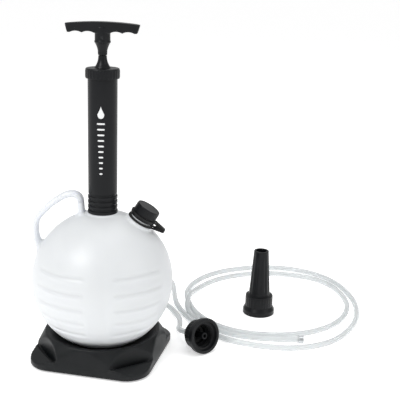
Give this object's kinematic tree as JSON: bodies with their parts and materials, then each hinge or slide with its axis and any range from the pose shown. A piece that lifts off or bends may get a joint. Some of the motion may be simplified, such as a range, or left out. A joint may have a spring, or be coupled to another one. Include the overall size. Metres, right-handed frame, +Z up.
{
  "type": "fluid transfer pump",
  "caption": "Hand pump on a round blow-moulded tank with a moulded stand, a tethered filler cap, a loose clear hose with adapter and ferrule, and a pouring nozzle.",
  "frame": {"origin": "on the floor under the middle of the tank, on the pump's axis, on the face of the stand's middle foot", "axes": "+Z up along the plunger, +X from the carrying loop towards the filler spout, +Y away from the side that the T-handle and both are seen from"},
  "size_m": [0.6, 0.5539, 0.5591],
  "materials": {
    "hdpe_natural": "satin",
    "black_abs": "satin",
    "black_pp": "matte",
    "black_rubber": "matte",
    "clear_pvc": "gloss",
    "plated_steel": "satin",
    "acetal": "matte",
    "float_yellow": "matte",
    "grey_foam": "matte"
  },
  "bodies": {
    "root": {"tank": "hdpe_natural", "stand": "black_pp", "feet": "black_rubber", "pump_barrel": "black_abs", "barrel_cap": "black_abs", "rod_bush": "acetal", "neck_gasket": "black_rubber", "foot_valve": "black_rubber", "float_cage": "acetal", "leash_neck_ring": "black_pp", "hose_adapter": "black_pp", "adapter_washer": "black_rubber", "suction_hose": "clear_pvc", "hose_ferrule": "plated_steel"},
    "float": {"float_ball": "float_yellow"},
    "seal": {"piston_seal": "black_rubber"},
    "plunger": {"piston": "acetal", "piston_valve": "black_rubber", "piston_bolt": "plated_steel", "plunger_rod": "black_abs", "t_handle": "black_abs", "handle_pin": "plated_steel"},
    "cap_ring": {"leash_cap_ring": "black_pp"},
    "cap": {"filler_cap": "black_pp", "cap_liner": "grey_foam"},
    "leash_low": {"leash_lower": "black_pp"},
    "leash_high": {"leash_upper": "black_pp"},
    "nozzle": {"pouring_nozzle": "black_pp", "nozzle_washer": "black_rubber"}
  },
  "joints": [
    {"name": "plunger_stroke", "type": "slide", "parent": "root", "child": "seal", "axis": [0, 0, 1], "range_m": [0, 0.18]},
    {"name": "handle_turn", "type": "hinge", "parent": "seal", "child": "plunger", "pos_m": [0, 0, 0.5], "axis": [0, 0, 1], "continuous": true},
    {"name": "float_rise", "type": "slide", "parent": "root", "child": "float", "axis": [0, 0, 1], "range_m": [0, 0.012]},
    {"name": "cap_lift", "type": "slide", "parent": "root", "child": "cap_ring", "axis": [0.515, 0, 0.8572], "range_m": [0, 0.02]},
    {"name": "cap_turn", "type": "hinge", "parent": "cap_ring", "child": "cap", "pos_m": [0.06953, 0, 0.24972], "axis": [0.515, 0, 0.8572], "range_deg": [0, 1801]},
    {"name": "leash_swing", "type": "hinge", "parent": "root", "child": "leash_low", "pos_m": [0.08438, 0, 0.22609], "axis": [0, -1, 0], "range_deg": [0, 43.7]},
    {"name": "leash_fold", "type": "hinge", "parent": "leash_low", "child": "leash_high", "pos_m": [0.10079, 0, 0.22166], "axis": [0, -1, 0], "range_deg": [-87.5, 0]},
    {"name": "nozzle_lift", "type": "slide", "parent": "root", "child": "nozzle", "axis": [0, 0, 1], "range_m": [0, 0.12]}
  ],
  "couplings": [
    {"joint": "cap_turn", "follows": "cap_lift", "rad_per_m": 1570.8},
    {"joint": "leash_swing", "follows": "cap_lift", "rad_per_m": 38.084},
    {"joint": "leash_fold", "follows": "cap_lift", "rad_per_m": -76.168}
  ]
}
